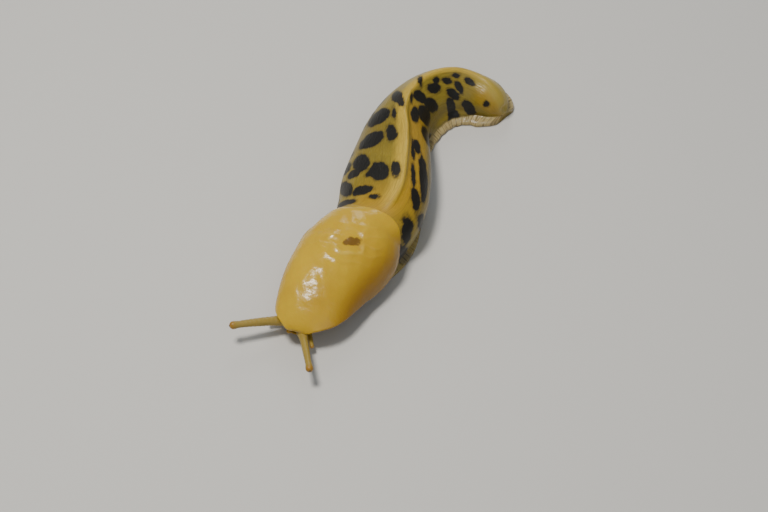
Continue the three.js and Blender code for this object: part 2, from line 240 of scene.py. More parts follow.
def sectionPoint(wall, turn, grow=0.0):
    side = wall["bottom"] + slug["widestAt"] * (wall["top"] - wall["bottom"])
    width = wall["halfWidth"] + grow
    lower = (turn > math.pi) | (turn < 0)
    power = np.where(lower, slug["underPower"], 2 / wall["roundness"])
    reach = np.where(lower, side - wall["bottom"] + grow, wall["top"] - side + grow)
    share = signedPower(np.sin(turn), np.where(lower, 0.5, slug["topPower"]))
    across = width * signedPower(np.cos(turn), power)
    up = side + reach * share
    lift = np.clip((up - wall["bottom"]) / (wall["top"] - wall["bottom"] + 1e-6), 0, 1.2)
    return across + wall["shift"] + wall["lean"] * lift ** slug["leanPower"], up


def bezier(a, b, c, d, t):
    u = 1 - t
    return a * u**3 + 3 * b * u * u * t + 3 * c * u * t * t + d * t**3


def rolling(s, v, seed, scale):
    # slow, uneven waves over the skin, from a few sines with loose phases
    draw = random.Random(seed)
    total = 0
    for _ in range(7):
        fs, fv = draw.uniform(0.5, 1.6) / scale, draw.uniform(-1.6, 1.6) / scale
        total = total + math.cos(draw.uniform(0, 3)) * np.sin(fs * s + fv * v + draw.uniform(0, 6.28))
    return total / 3.5


class Skin:
    # vertices, faces and what each vertex knows about its place on the animal
    fields = ("along", "around", "spot", "mantle", "fringe", "stalk", "mark", "crease")
    plain = {"spot": -9.0, "mark": -9.0}

    def __init__(self):
        self.points = []
        self.faces = []
        self.values = {name: [] for name in self.fields}
        self.count = 0

    def addGrid(self, grid, caps=(0, -1), **values):
        # a tube of rows, closed at both ends unless it has no caps: then it is a ring
        rows, columns = grid.shape[:2]
        index = np.arange(rows * columns).reshape(rows, columns) + self.count
        if not caps:
            index = np.concatenate([index, index[:1]])
        right = np.roll(index, -1, axis=1)
        quads = np.stack([index[:-1], right[:-1], right[1:], index[1:]], -1)
        self.faces += quads.reshape(-1, 4).tolist()
        self.points.append(grid.reshape(-1, 3))
        known = {}
        for name in self.fields:
            value = values.get(name, self.plain.get(name, 0.0))
            known[name] = np.broadcast_to(value, (rows, columns))
        for name, field in known.items():
            self.values[name].append(field.astype(float).ravel())
        self.count += rows * columns
        for cap in caps:
            row = index[cap].tolist()
            self.points.append(grid[cap].mean(0)[None])
            for name, field in known.items():
                self.values[name].append(field[cap].mean()[None])
            for a, b in zip(row, row[1:] + row[:1]):
                self.faces.append([self.count, b, a] if cap == 0 else [self.count, a, b])
            self.count += 1

    def mesh(self, name):
        mesh = bpy.data.meshes.new(name)
        mesh.from_pydata((np.concatenate(self.points) * mm).tolist(), [], self.faces)
        mesh.update()
        return addPiece(name, mesh)


def addPiece(name, data):
    piece = bpy.data.objects.new(name, data)
    bpy.context.scene.collection.objects.link(piece)
    return piece


# Dark spots. The places of seen ones are given in pixels of the photograph's view:
# [across, down, half length across, half length down, half width].
# Ones that can't be seen lie in bands: [from, to behind the snout, from, to round from the crest], in mm
spots = {
    "seen": [
        (397, 96.5, 2.5, 5, 5), (400.5, 102, 2.2, 3.3, 2.5), (378, 117, 10.5, -7.5, 5.5),
        (394, 113, 0.5, 4, 1.5), (371, 140, 12, -6.5, 6), (391.5, 133, 1, 7, 5), (361, 163, 5, -7, 7),
        (353.5, 174, 5.5, -4, 3.2), (379, 171, 0, 8.5, 9.5), (370, 174, 4, -1, 2), (396, 169, 0, 7, 4),
        (345, 189, 0, 6.5, 6), (362, 190.5, 9.5, -2.5, 4), (374, 196.5, 4.5, 0, 2),
        (343, 204, 9.5, -4.5, 2), (434, 88, 6.5, 0, 4.5), (420, 97, 6, 5, 4.5), (431, 105, 5, 6.5, 5.5),
        (436, 80, 2.5, 0, 2.5), (447, 80.5, 4, 1, 2.8), (459, 87, 3, 5, 3), (453, 94, 5, 4, 4),
        (456, 75, 3, 0, 2), (470, 82, 4, 2, 2.5), (451, 107, 1, 8, 4), (453.5, 117.5, 5.5, 0, 7),
        (469, 108, 5, 6.5, 4.2), (486, 104.5, 2, 0, 2), (415, 115, 1.5, 7, 3.8), (425, 116, 3, 10, 5),
        (427, 137, 3, 10, 2.5), (417, 147, 2, 6, 3), (413, 150, 0.5, 8, 1.3), (413.5, 178, 1, 12, 1.8),
        (424, 178, 1.5, 22, 3.6), (416, 199, 1.5, 12, 3.5), (407.5, 230, -1.5, 13, 4.7),
        (402, 255, -2, 8, 4.3), (421, 222, -1, 8, 2), (420, 79.5, 0.7, 3.5, 2), (411.5, 98, 0, 4, 1),
    ],
    "reach": 3.0,
    "depth": 6.0,
    "thinnest": 0.2,
    "hidden": [(50, 90, -18.5, -24), (91, 108, -13, -22), (109, 136, -6.5, -18), (60, 100, 16, 22)],
    "tries": 26,
    "halfLength": (1.2, 4.0),
    "slimness": (0.45, 0.8),
    "mostTurn": 60,
    "apart": 0.9,
    "seed": 7,
}


def cameraAxes():
    e, a = math.radians(stage["elevation"]), math.radians(stage["azimuth"])
    back = np.array([math.sin(a) * math.cos(e), -math.cos(a) * math.cos(e), math.sin(e)])
    right = np.array([math.cos(a), math.sin(a), 0.0])
    return back, right, np.cross(back, right)


def seenAt(grid):
    # where each point lands in the photograph, how far it is from the camera and whether it faces it
    back, right, up = cameraAxes()
    eye = np.array(stage["target"]) + back * stage["distance"]
    offset = grid - eye
    away = -(offset @ back)
    wide, high = stage["picture"]
    focus = stage["lens"] / stage["sensor"] * wide
    x = wide / 2 + focus * (offset @ right) / away
    y = high / 2 - focus * (offset @ up) / away
    return np.stack([x, y], -1), away, ((eye - grid) * gridNormals(grid)).sum(-1) > 0


def seenSpots(grid, s, around):
    # each seen spot becomes an ellipse on the skin: where it is, its half axes in mm and its turn
    pixel, away, facing = seenAt(grid)
    found = []
    for x, y, dx, dy, halfWidth in spots["seen"]:
        near = facing & (np.hypot(pixel[..., 0] - x, pixel[..., 1] - y) < spots["reach"])
        near &= away < away[near].min() + spots["depth"]
        fit = np.stack([pixel[near][:, 0] - x, pixel[near][:, 1] - y, np.ones(near.sum())], 1)
        slopeS, slopeV = (np.linalg.lstsq(fit, field[near], rcond=None)[0] for field in (s, around))
        length = math.hypot(dx, dy)
        axes = np.array([[dx, -dy / length * halfWidth], [dy, dx / length * halfWidth]])
        onSkin = np.array([slopeS[:2], slopeV[:2]]) @ axes
        spread, ways = np.linalg.eigh(onSkin @ onSkin.T)
        turn = math.degrees(math.atan2(ways[1, 1], ways[0, 1]))
        half, width = math.sqrt(spread[1]), max(math.sqrt(max(spread[0], 0)), spots["thinnest"])
        found.append((slopeS[2], slopeV[2], half, width, turn))
    return found


def hiddenSpots(seen):
    # what can't be seen has spots of the same kind, each clear of the others
    draw = random.Random(spots["seed"])
    found = []
    for start, end, least, most in spots["hidden"]:
        for _ in range(spots["tries"]):
            at, aside = draw.uniform(start, end), draw.uniform(least, most)
            half = draw.uniform(*spots["halfLength"])
            width = half * draw.uniform(*spots["slimness"])
            turn = draw.uniform(-spots["mostTurn"], spots["mostTurn"])
            room = [math.hypot(at - o[0], aside - o[1]) - 0.7 * (half + o[2]) for o in seen + found]
            if min(room) > spots["apart"]:
                found.append((at, aside, half, width, turn))
    return found


def spotField(s, v, field):
    # how deep inside the nearest dark spot each point lies, in mm
    best = np.full(s.shape, -9.0)
    for at, aside, half, width, turn in field:
        c, n = math.cos(math.radians(turn)), math.sin(math.radians(turn))
        ds, dv = s - at, v - aside
        x, y = (ds * c + dv * n) / half, (-ds * n + dv * c) / width
        best = np.maximum(best, (1 - np.sqrt(x * x + y * y)) * min(half, width))
    return best


# The fringe's outline is [mm in from its edge, mm up]: on the ledge, down the rim and under it
bodySkin = {
    "ledge": [(1.5, 2.35), (0.85, 1.85)],
    "rim": [(0.85, 1.85), (0.2, 1.55), (0, 1.2), (0, 0.75)],
    "underRim": [(0, 0.75), (0, 0.3), (0.3, 0), (0.9, 0)],
    "wallPoints": 62,
    "sidePoints": 15,
    "edgePoints": 10,
    "solePoints": 10,
    "headLength": 7.0,
    "headRows": 16,
    "tipLength": 12.0,
    "tipRows": 44,
    "hiddenStep": 1.3,
    "shownStep": 0.52,
    "shownFrom": 33.0,
    "roll": {"height": 0.14, "seed": 3, "spread": 2.6},
    "wave": {"height": 0.05, "turn": 2.3, "slant": 0.4},
    "grooveUp": 3.0,
    "grooveIn": (1.9, 2.1),
    "flareStart": (86, 98),
    "flareEnd": (124, 134),
    "poreFromTip": 0.2,
    "poreHeight": 5.0,
    "poreDepth": 1.3,
}


def footHalfWidth(s):
    ruffle = slug["ruffle"] * np.sin(s * slug["ruffleTurn"]) * smooth(s, 40, 100)
    beforeFront = np.maximum(0, 1 - (s - slug["footStart"]) / slug["footFront"])
    beyondEnd = np.maximum(0, 1 - (slug["length"] + 1 - s) / slug["tailRound"])
    ends = np.sqrt(np.clip(1 - np.maximum(beforeFront, beyondEnd) ** 2, 0, 1))
    return (tracks["footHalfWidth"](s) + ruffle) * ends


def halfSection(s, wall, f, hand):
    # one side of the body from the crest down over the fringe to the middle of the sole
    b = bodySkin
    w = wall["halfWidth"]
    side = wall["bottom"] + slug["widestAt"] * (wall["top"] - wall["bottom"])
    turn = (math.pi / 2) * (1 - np.linspace(0, 1, b["wallPoints"]) ** 0.9)[None, :]
    across = w * np.cos(turn) ** (2 / wall["roundness"])
    up = side + (wall["top"] - side) * np.sin(turn) ** slug["topPower"]
    up = up + wall["keel"] * bell(across, slug["keelWidth"][hand])

    # below the widest line the wall turns in to a groove, then out over the fringe of the foot,
    # and near the tail it flares out to the foot
    flare = smooth(s, *b["flareStart"]) * (1 - smooth(s, *b["flareEnd"]))
    usual, flared = b["grooveIn"]
    furthest = w * 0.95 + np.maximum(f - flared - w * 0.95, 0) * flare
    groove = np.minimum(furthest, np.maximum(f - usual, w * 0.6))
    low = b["grooveUp"] + 0 * s
    t = np.linspace(0, 1, b["sidePoints"] + 1)[None, 1:]
    t2 = np.linspace(0, 1, b["edgePoints"] + 1)[None, 1:]
    inward = np.linspace(1, 0, b["solePoints"] + 1)[None, 1:]

    def curve(points, share):
        outs, ups = zip(*points)
        return bezier(*outs, share), bezier(*ups, share)

    def onFringe(name):
        return [(f - inset, height) for inset, height in b[name]]

    turnIn = groove + 0.25 * (w - groove) + 0.3
    flank = [(w, side), (w, side - 0.55 * (side - low)), (turnIn, low + 0.9), (groove, low)]
    ledge = [(groove, low), (groove + 0.1, low - 0.75), *onFringe("ledge")]
    soleEdge = onFringe("underRim")[-1][0]
    lengths = [
        (across, up),
        curve(flank, t),
        curve(ledge, t),
        curve(onFringe("rim"), t2),
        curve(onFringe("underRim"), t2),
        (soleEdge * inward, 0 * inward),
    ]
    x = np.concatenate([part[0] + 0 * s for part in lengths], 1)
    z = np.concatenate([part[1] + 0 * s for part in lengths], 1)

    # the head has no foot: its section closes under the chin instead
    below = slice(b["wallPoints"], None)
    chin = np.linspace(0, -math.pi / 2, x.shape[1] - b["wallPoints"] + 1)[None, 1:]
    hasFoot = smooth(s, slug["footStart"], slug["footStart"] + 4)
    chinX = w * np.cos(chin) ** slug["underPower"]
    chinZ = side - (side - wall["bottom"]) * np.abs(np.sin(chin)) ** 0.8
    x[:, below] = chinX + (x[:, below] - chinX) * hasFoot
    z[:, below] = chinZ + (z[:, below] - chinZ) * hasFoot
    arc = np.concatenate([0 * s, np.cumsum(np.hypot(np.diff(x, axis=1), np.diff(z, axis=1)), 1)], 1)
    return x, z, arc


def bodyGrid():
    b = bodySkin
    last = slug["length"] - 0.04
    quarter = math.pi / 2
    headRows = 1 - np.cos(np.linspace(0.05, 1, b["headRows"]) * quarter)
    head = slug["snoutStart"] + 0.02 + b["headLength"] * headRows
    hidden = np.arange(head[-1] + b["hiddenStep"], b["shownFrom"], b["hiddenStep"])
    shown = np.arange(b["shownFrom"], last - b["tipLength"], b["shownStep"])
    tip = last - b["tipLength"] * np.cos(np.linspace(0, 1, b["tipRows"]) * quarter) ** 1.15
    s = np.concatenate([head, hidden, shown, tip])[:, None]
    wall = wallAt(s)
    foot = footHalfWidth(s)
    tucked = np.maximum(foot - tracks["footTuck"](s), 0.5 * foot)
    leftX, leftZ, leftArc = halfSection(s, wall, foot, "left")
    rightX, rightZ, rightArc = halfSection(s, wall, tucked, "right")

    # the left half runs crest to sole, the right half back up to the crest
    left = np.arange(leftX.shape[1])
    right = np.arange(leftX.shape[1] - 2, 0, -1)
    across = np.concatenate([leftX[:, left], -rightX[:, right]], 1)
    up = np.concatenate([leftZ[:, left], rightZ[:, right]], 1)
    around = np.concatenate([leftArc[:, left], -rightArc[:, right]], 1)
    lift = np.clip((up - wall["bottom"]) / (wall["top"] - wall["bottom"] + 1e-6), 0, 1.2)
    lean = wall["lean"] * lift ** slug["leanPower"]
    grid = place(s + 0 * across, across + lean + wall["shift"], up)

    which = np.concatenate([left, right])
    start = b["wallPoints"] + b["sidePoints"]
    end = start + b["sidePoints"] + 2 * b["edgePoints"]
    fringe = smooth(which, start - 2, start + 6) * (1 - smooth(which, end - 6, end + 2))
    fringe = fringe[None, :] * smooth(s, slug["footStart"], slug["footStart"] + 4)

    # slow swellings of the flank and a soft wave in the fringe, none on the sole or the keel
    normal = gridNormals(grid)
    flank = smooth(up, 3.0, 6.5) * smooth(np.abs(around), 1.5, 4) * smooth(s, 42, 56)
    roll, wave = b["roll"], b["wave"]
    push = roll["height"] * rolling(s + 0 * up, around, roll["seed"], roll["spread"]) * flank
    waves = wave["height"] * np.sin(s * wave["turn"] + wave["slant"] * around)
    push = push + waves * fringe * smooth(up, 0.8, 1.5) * smooth(s, 60, 90)
    grid = grid + normal * push[..., None]

    # the slime gland's pit over the end of the foot
    tipPoint = place(np.array(slug["length"] - b["poreFromTip"]), 0.0, b["poreHeight"])
    inward = place(np.array(slug["length"] - b["tipLength"]), 0.0, b["poreHeight"]) - tipPoint
    inward /= np.linalg.norm(inward)
    away = np.linalg.norm(grid - tipPoint, axis=-1)
    grid = grid + inward * (b["poreDepth"] * bell(away, 1.5))[..., None]
    return grid, s + 0 * up, around, fringe


def gridNormals(grid):
    down = np.gradient(grid, axis=0)
    across = (np.roll(grid, -1, 1) - np.roll(grid, 1, 1)) / 2
    normal = np.cross(across, down)
    length = np.linalg.norm(normal, axis=-1, keepdims=True)
    normal = normal / np.maximum(length, 1e-9)
    middle = grid.mean(1, keepdims=True)
    facing = np.sign(((grid - middle) * normal).sum(-1).mean())
    return normal * facing


def mantlePoint(share, spoke, lift):
    m = mantle
    along = signedPower(np.cos(spoke), m["bluntness"])
    reach = np.where(along > 0, m["rear"] - m["centre"], m["centre"] - m["front"])
    s = m["centre"] + share * reach * along
    turn = math.pi / 2 - share * m["reach"] * signedPower(np.sin(spoke), m["bluntness"])

    def surface(ds, dt):
        across, up = sectionPoint(liningAt(s + ds), turn + dt, m["gap"])
        return place(s + ds, across, up)

    here = surface(0, 0)
    back = surface(0.05, 0) - surface(-0.05, 0)
    roundWay = surface(0, -0.01) - surface(0, 0.01)
    normal = np.cross(back, roundWay)
    normal /= np.linalg.norm(normal, axis=-1, keepdims=True) + 1e-12
    return here - normal * np.asarray(lift)[..., None], s, turn


def mantleGrid():
    m = mantle
    share = np.sin((np.arange(m["rings"]) + 1) / m["rings"] * math.pi / 2) ** 0.9
    spoke = np.arange(m["spokes"]) / m["spokes"] * 2 * math.pi
    a, b = np.meshgrid(share, spoke, indexing="ij")
    _, s, turn = mantlePoint(a, b, 0 * a)
    v = (math.pi / 2 - turn) * m["roundRadius"]
    rim, crown = m["rimThickness"], m["crownThickness"]

    def edgeThickness(at):
        return rim - m["rearThinner"] * smooth(at, 34, 41)

    # a curved wrinkle runs round the front of the brown mark
    ds, dv = s - m["mark"][0], v - m["mark"][1]
    ahead, beside = m["wrinkleAt"][0] - s, v - m["wrinkleAt"][1]
    bearing = np.arctan2(beside, ahead)
    away = np.hypot(ahead, beside) - 0.25 * np.sin(5 * bearing + 1)
    wrinkle = bell(away - m["wrinkleRadius"], 0.5) * smooth(np.cos(bearing - 0.2), -0.6, 0.1)
    wrinkle = wrinkle * (0.8 + 0.3 * np.sin(3.3 * bearing + 1))
    fold = bell(away - m["wrinkleRadius"] - m["foldOut"], 0.8) * smooth(np.cos(bearing + 0.5), 0.3, 0.8)

    def waves(kind):
        return rolling(s, v, m[kind]["seed"], m[kind]["spread"])

    # slow swellings all over, finer relief along the crest and round the mark, creases round the mark
    fromMark = np.hypot(ds, dv)
    busy = 0.35 + 0.9 * bell(v - 1 + 0.1 * (s - 20), 6.5) + 0.9 * bell(fromMark - 5.5, 5.5)
    creases = np.clip(1 - 1.35 * np.abs(waves("creases")), 0, 1) ** 2
    creases = creases * bell(fromMark - m["creases"]["fromMark"], m["creases"]["fade"])
    thick = edgeThickness(s) + (crown - edgeThickness(s)) * (1 - a**4)
    thick = thick + m["swell"]["height"] * waves("swell") * (1 - a**6)
    thick = thick + m["relief"]["height"] * waves("relief") * busy * (1 - a**4)
    thick = thick + m["wrinkleHeight"] * (wrinkle + fold + m["creases"]["height"] * creases)
    outer, _, _ = mantlePoint(a, b, thick)

    # the free edge rolls round to the underside
    still = 0 * spoke
    edge, edgeS, _ = mantlePoint(1.0 + still, spoke, still)
    inside, _, _ = mantlePoint(0.985 + still, spoke, still)
    outward = edge - inside
    outward /= np.linalg.norm(outward, axis=-1, keepdims=True)
    halfRim = edgeThickness(edgeS) / 2
    lip = []
    for k in range(1, m["lipSteps"]):
        angle = k / m["lipSteps"] * math.pi
        up, _, _ = mantlePoint(1.0 + still, spoke, halfRim * (1 + math.cos(angle)))
        lip.append(up + outward * (halfRim * math.sin(angle))[:, None])
    back = np.sin((np.arange(m["innerRings"]) + 1) / m["innerRings"] * math.pi / 2)[::-1]
    a2, b2 = np.meshgrid(back, spoke, indexing="ij")
    _, s2, _ = mantlePoint(a2, b2, 0 * a2)
    sink = -1.0 * (1 - smooth(a2, 0.72, 0.97)) * smooth(s2, 30, 34)
    inner, _, _ = mantlePoint(a2, b2, sink)
    grid = np.concatenate([outer, np.stack(lip), inner])

    def toAll(field, rest):
        # a field of the outer face, carried on over the lip and the underside
        more = np.broadcast_to(rest, (m["lipSteps"] - 1 + m["innerRings"], m["spokes"]))
        return np.concatenate([field, more])

    c, n = math.cos(math.radians(m["markTurn"])), math.sin(math.radians(m["markTurn"]))
    long, wide = m["markSize"]
    mark = toAll((1 - np.hypot((ds * c + dv * n) / long, (dv * c - ds * n) / wide)) * wide, -9.0)

    # the breathing pore: a small rimmed pit at the right margin
    poreWall = liningAt(np.array(m["poreAt"]))
    across, up = sectionPoint(poreWall, np.array(math.radians(m["poreTurn"])), m["gap"] + rim + 0.5)
    pore = place(np.array(m["poreAt"]), across, up)
    tangent = place(np.array(m["poreAt"] + 1), across, up) - pore
    tangent /= np.linalg.norm(tangent)
    offset = grid - pore
    alongPore = offset @ tangent
    acrossPore = np.sqrt(np.maximum((offset**2).sum(-1) - alongPore**2, 0))
    d = np.hypot(alongPore / m["poreHalf"][0], acrossPore / m["poreHalf"][1])
    shown = slice(None, m["rings"])
    pit = m["poreRim"] * bell(d[shown] - 1.5, 0.4) - m["poreDepth"] * bell(d[shown], 0.85)
    grid[shown] += gridNormals(grid[shown]) * pit[..., None]
    # the crease field rises on the wrinkle ridges, where the paint puts a painted highlight, and dips at the
    # breathing pore, where it puts painted shade
    crease = toAll(wrinkle + 0.45 * creases, 0.0) - 2 * bell(d, 0.9)
    return grid, toAll(s, s[-1:]), toAll(v, v[-1:]), mark, crease


# Tentacles: [kind, root, tip] in mm in the frame, and how far the middle arches up
tentacles = {
    "long": {"radii": (1.85, 1.42, 1.15, 1.32), "sides": 26, "rings": 120, "wrinkles": 4.6},
    "slim": {"radii": (2.1, 1.22, 1.02, 1.24), "sides": 26, "rings": 120, "wrinkles": 4.6},
    "short": {"radii": (1.05, 0.86, 0.72, 0.78), "sides": 18, "rings": 50, "wrinkles": 5.5},
    "stalks": {
        "opticLeft": ("slim", (0.3, -28.4, 5.2), (12.6, -43, 8), 0.9),
        "opticRight": ("long", (-6.2, -28, 5.0), (-19, -40.6, 8), 1.0),
        "oralLeft": ("short", (2.4, -27.4, 3.3), (6.5, -32, 3.3), 0.2),
        "oralRight": ("short", (-8.1, -26.6, 3.3), (-11.8, -30.2, 3), 0.2),
    },
    "rootSink": 1.4,
    "turns": (0.4, 0.84, 0.93),
}


def stalkLine(root, tip, arch):
    # the root reaches a little into the head, so that the stalk grows out of it
    root, tip = np.array(root, float), np.array(tip, float)
    bend = (root + tip) / 2 + np.array([0, 0, arch])
    way = bend - root
    return root - way / np.linalg.norm(way) * tentacles["rootSink"], bend, tip


def stalkTree():
    # a tube along a bent path, its radius worked out from the place along it
    tree = bpy.data.node_groups.new("stalk", "GeometryNodeTree")
    inputs = {
        "Root": "NodeSocketVector", "Bend": "NodeSocketVector", "Tip": "NodeSocketVector",
        "Root Radius": "NodeSocketFloat", "Middle Radius": "NodeSocketFloat",
        "Neck Radius": "NodeSocketFloat", "Bulb Radius": "NodeSocketFloat",
        "Wrinkles": "NodeSocketFloat", "Sides": "NodeSocketInt", "Rings": "NodeSocketInt",
        "Skin": "NodeSocketMaterial",
    }
    tree.interface.new_socket("Geometry", in_out="OUTPUT", socket_type="NodeSocketGeometry")
    for name, kind in inputs.items():
        tree.interface.new_socket(name, in_out="INPUT", socket_type=kind)
    g = Graph(tree)
    given = tree.nodes.new("NodeGroupInput")
    take = {name: Wire(g, given.outputs[name]) for name in inputs}

    path = {"Resolution": 64, "Start": take["Root"], "Middle": take["Bend"], "End": take["Tip"]}
    curve = g.node("GeometryNodeCurveQuadraticBezier", {}, path)
    curve = g.node("GeometryNodeResampleCurve", {}, {"Curve": curve, "Count": take["Rings"]})
    length = g.node("GeometryNodeCurveLength", {}, {"Curve": curve})
    factor = g.node("GeometryNodeSplineParameter", {}, {}, "Factor")
    first, second, third = tentacles["turns"]
    radius = take["Root Radius"] + (take["Middle Radius"] - take["Root Radius"]) * factor.step(0.0, first)
    radius = radius + (take["Neck Radius"] - take["Middle Radius"]) * factor.step(first, second)
    radius = radius + (take["Bulb Radius"] - take["Neck Radius"]) * factor.step(second, third)
    fold = (factor * length * 1000.0 * take["Wrinkles"]).maths("SINE")
    radius = radius * (1 + fold * 0.022 * factor.step(0.05, 0.3) * (1 - factor.step(0.78, 0.88)))
    bulb = take["Bulb Radius"] / length
    ahead = ((factor - 1 + bulb) / bulb).maths("MAXIMUM", 0.0)
    dome = (1 - ahead * ahead).maths("MAXIMUM", 0.0004) ** 0.5
    ring = g.node("GeometryNodeCurvePrimitiveCircle", {}, {"Resolution": take["Sides"], "Radius": 1.0})
    tube = {"Curve": curve, "Profile Curve": ring, "Scale": radius * dome, "Fill Caps": True}
    mesh = g.node("GeometryNodeCurveToMesh", {}, tube)
    mesh = g.node("GeometryNodeSetShadeSmooth", {}, {"Geometry": mesh})
    mesh = g.node("GeometryNodeRealizeInstances", {}, {"Geometry": mesh})
    mesh = g.node("GeometryNodeSetMaterial", {}, {"Geometry": mesh, "Material": take["Skin"]})
    g.node("NodeGroupOutput", {}, {"Geometry": mesh})
    return tree


def buildStalk(name, tree, material):
    kind, root, tip, arch = tentacles["stalks"][name]
    size = tentacles[kind]
    line = stalkLine(root, tip, arch)
    values = dict(zip(("Root", "Bend", "Tip"), (tuple(point * mm) for point in line)))
    radii = [radius * mm for radius in size["radii"]]
    values.update(zip(("Root Radius", "Middle Radius", "Neck Radius", "Bulb Radius"), radii))
    values.update({"Wrinkles": size["wrinkles"], "Sides": size["sides"], "Rings": size["rings"]})
    values["Skin"] = material
    carrier = addPiece(name, bpy.data.meshes.new(name))
    grow = carrier.modifiers.new("stalk", "NODES")
    grow.node_group = tree
    for item in tree.interface.items_tree:
        if item.in_out == "INPUT":
            grow[item.identifier] = values[item.name]
    mesh = plainMesh(carrier)
    bpy.data.objects.remove(carrier)
    piece = addPiece(name + "Part", mesh)

    # how far along the stalk and how far round it each vertex lies
    points = readPoints(mesh)
    t = np.linspace(0, 1, 200)[:, None]
    a, b, c = line
    middle = a * (1 - t) ** 2 + 2 * b * t * (1 - t) + c * t * t
    nearest = np.linalg.norm(points[:, None] - middle[None], axis=-1).argmin(1)
    away = points - middle[nearest]
    turn = np.arctan2(away[:, 2], away @ np.cross(c - a, [0, 0, 1]) / np.linalg.norm(c - a))
    share = np.clip(t[nearest, 0], 0.001, 1)
    return piece, points, {"stalk": share, "along": share * 16, "around": turn * 1.2}


def plainMesh(piece):
    # the piece with its modifiers worked in
    bpy.context.view_layer.update()
    depsgraph = bpy.context.evaluated_depsgraph_get()
    return bpy.data.meshes.new_from_object(piece.evaluated_get(depsgraph))


def readPoints(mesh):
    flat = np.empty(len(mesh.vertices) * 3)
    mesh.vertices.foreach_get("co", flat)
    return flat.reshape(-1, 3) / mm


# The mouth: a lip, a lobe at each corner and a slit, on the front of the head
mouth = {
    "width": 3.4, "height": 1.0, "depth": 1.5, "up": 3.6, "behindFront": 0.9,
    "lip": 0.5, "lobe": (1.05, 0.8, 1.2), "lobeAside": 1.85, "lobeDown": 0.55,
    "ovalness": 0.6, "lipDepth": 0.7, "slitShorter": 0.4,
}


def atMouth(points):
    # from across, up and out of the face to the frame
    front = slug["snoutStart"] + mouth["behindFront"]
    angle = math.radians(float(tracks["heading"](front)) - 90)
    x, y = points[..., 0], -points[..., 2]
    c, n = math.cos(angle), math.sin(angle)
    turned = np.stack([x * c - y * n, x * n + y * c, points[..., 1]], -1)
    return turned + place(np.array(front), tracks["sideShift"](front), mouth["up"])


def wholeTurn(count):
    return np.linspace(0, 2 * math.pi, count, endpoint=False)


def ballGrid(size, centre=(0, 0, 0)):
    rise, turn = np.meshgrid(np.linspace(0.06, math.pi - 0.06, 20), wholeTurn(28), indexing="ij")
    ball = np.stack([np.sin(rise) * np.cos(turn), np.sin(rise) * np.sin(turn), np.cos(rise)], -1)
    return atMouth(ball * np.array(size) + np.array(centre))


def lipGrid():
    big, small = np.meshgrid(wholeTurn(48), wholeTurn(16), indexing="ij")
    out = mouth["width"] / 2 + mouth["lip"] * np.cos(small)
    pucker = 1 + 0.05 * np.sin(9 * big)
    across, up = out * np.cos(big) * pucker, mouth["ovalness"] * out * np.sin(big) * pucker
    return atMouth(np.stack([across, up, mouth["lipDepth"] * np.sin(small)], -1))


def recalculate(piece):
    bpy.context.view_layer.objects.active = piece
    for other in bpy.context.selected_objects:
        other.select_set(False)
    piece.select_set(True)
    bpy.ops.object.mode_set(mode="EDIT")
    bpy.ops.mesh.select_all(action="SELECT")
    bpy.ops.mesh.normals_make_consistent(inside=False)
    bpy.ops.object.mode_set(mode="OBJECT")


def buildSkin(material):
    known = []

    def note(points, values):
        plain = [np.broadcast_to(values.get(f, Skin.plain.get(f, 0.0)), len(points)) for f in Skin.fields]
        known.append(np.column_stack([points, *plain]))

    def build(name, grid, caps=(0, -1), **values):
        part = Skin()
        part.addGrid(grid, caps, **values)
        piece = part.mesh(name)
        recalculate(piece)
        note(np.concatenate(part.points), {f: np.concatenate(part.values[f]) for f in Skin.fields})
        return piece

    grid, s, v, fringe = bodyGrid()
    seen = seenSpots(grid, s, v)
    field = spotField(s, v, seen + hiddenSpots(seen))
    whole = build("bodyPart", grid, along=s, around=v, spot=field, fringe=fringe)
    print("body skin", grid.shape)

    grid, s, v, mark, crease = mantleGrid()
    joined = [build("mantlePart", grid, along=s, around=v, mantle=1.0, mark=mark, crease=crease)]
    print("mantle skin", grid.shape)

    tree = stalkTree()
    for name in tentacles["stalks"]:
        piece, points, values = buildStalk(name, tree, material)
        recalculate(piece)
        note(points, values)
        joined.append(piece)
    print("tentacles grown along their paths")

    face = {"along": 0.0, "around": 12.0}
    joined.append(build("lipPart", lipGrid(), (), **face))
    for side in (-1, 1):
        lobe = ballGrid(mouth["lobe"], (side * mouth["lobeAside"], -mouth["lobeDown"], 0))
        joined.append(build("lobePart", lobe, **face))
    slitSize = (mouth["width"] / 2 - mouth["slitShorter"], mouth["height"] / 2, mouth["depth"])
    # a crease of -1 marks the slit for painted shade
    slit = build("slitPart", ballGrid(slitSize), crease=-1.0, **face)
    for other in (*joined, slit):
        step = whole.modifiers.new("join", "BOOLEAN")
        step.operation = "DIFFERENCE" if other is slit else "UNION"
        step.solver = "MANIFOLD"
        step.object = other
    mesh = plainMesh(whole)
    for other in (whole, slit, *joined):
        bpy.data.objects.remove(other)
    mesh.name = "skin"
    skin = addPiece("skin", mesh)

    # each vertex takes what the nearest vertex of the plain parts knew
    known = np.concatenate(known)
    lookup = kdtree.KDTree(len(known))
    for i, row in enumerate(known):
        lookup.insert(row[:3], i)
    lookup.balance()
    nearest = np.array([lookup.find(point)[1] for point in readPoints(mesh)])
    for column, field in enumerate(Skin.fields, 3):
        layer = mesh.attributes.new(field, "FLOAT", "POINT")
        layer.data.foreach_set("value", known[nearest, column].astype(np.float32))
    mesh.shade_smooth()
    mesh.materials.clear()
    mesh.materials.append(material)
    print("skin joined", len(mesh.vertices), "vertices", len(mesh.polygons), "faces")
    return skin


# Shader helpers
def linear(colour):
    # 0-255 as seen on screen to scene light
    out = []
    for c in colour:
        c = c / 255
        out.append(c / 12.92 if c <= 0.04045 else ((c + 0.055) / 1.055) ** 2.4)
    return (*out, 1.0)


